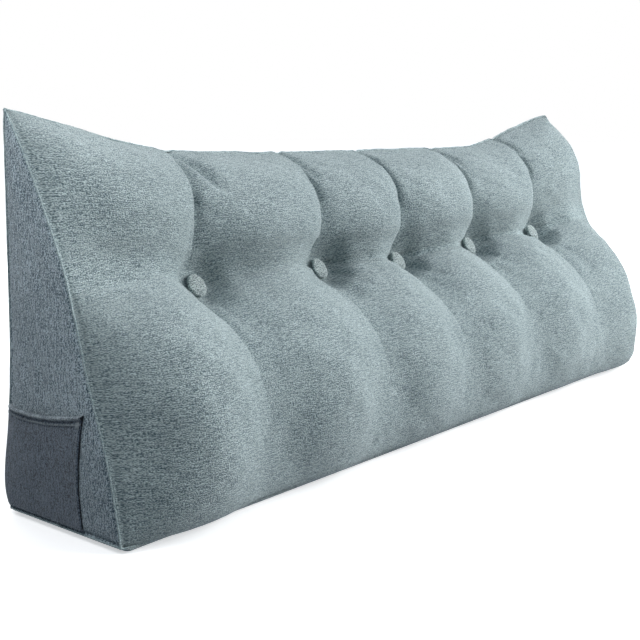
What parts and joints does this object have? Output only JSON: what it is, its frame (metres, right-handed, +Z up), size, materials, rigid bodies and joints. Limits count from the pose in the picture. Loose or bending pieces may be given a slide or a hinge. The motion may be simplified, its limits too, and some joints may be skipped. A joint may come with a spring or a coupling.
{
  "type": "backrest pillow",
  "caption": "Long wedge-shaped backrest pillow in blue-grey slub fabric, tufted with covered buttons, with a pocket on its left end.",
  "frame": {"origin": "middle of the base, on the surface that the pillow stands on", "axes": "+X along the length with the pocket end at -X, -Y towards the tufted front, +Z up"},
  "size_m": [1.3693, 0.2917, 0.511],
  "materials": {
    "cover_fabric": "matt slub weave",
    "button_fabric": "matt slub weave stretched over a button",
    "pocket_fabric": "matt slub weave, grain upright"
  },
  "bodies": {
    "root": {"pillow": "cover_fabric", "button_1": "button_fabric", "button_2": "button_fabric", "button_3": "button_fabric", "button_4": "button_fabric", "button_5": "button_fabric", "pocket": "pocket_fabric"}
  },
  "joints": []
}
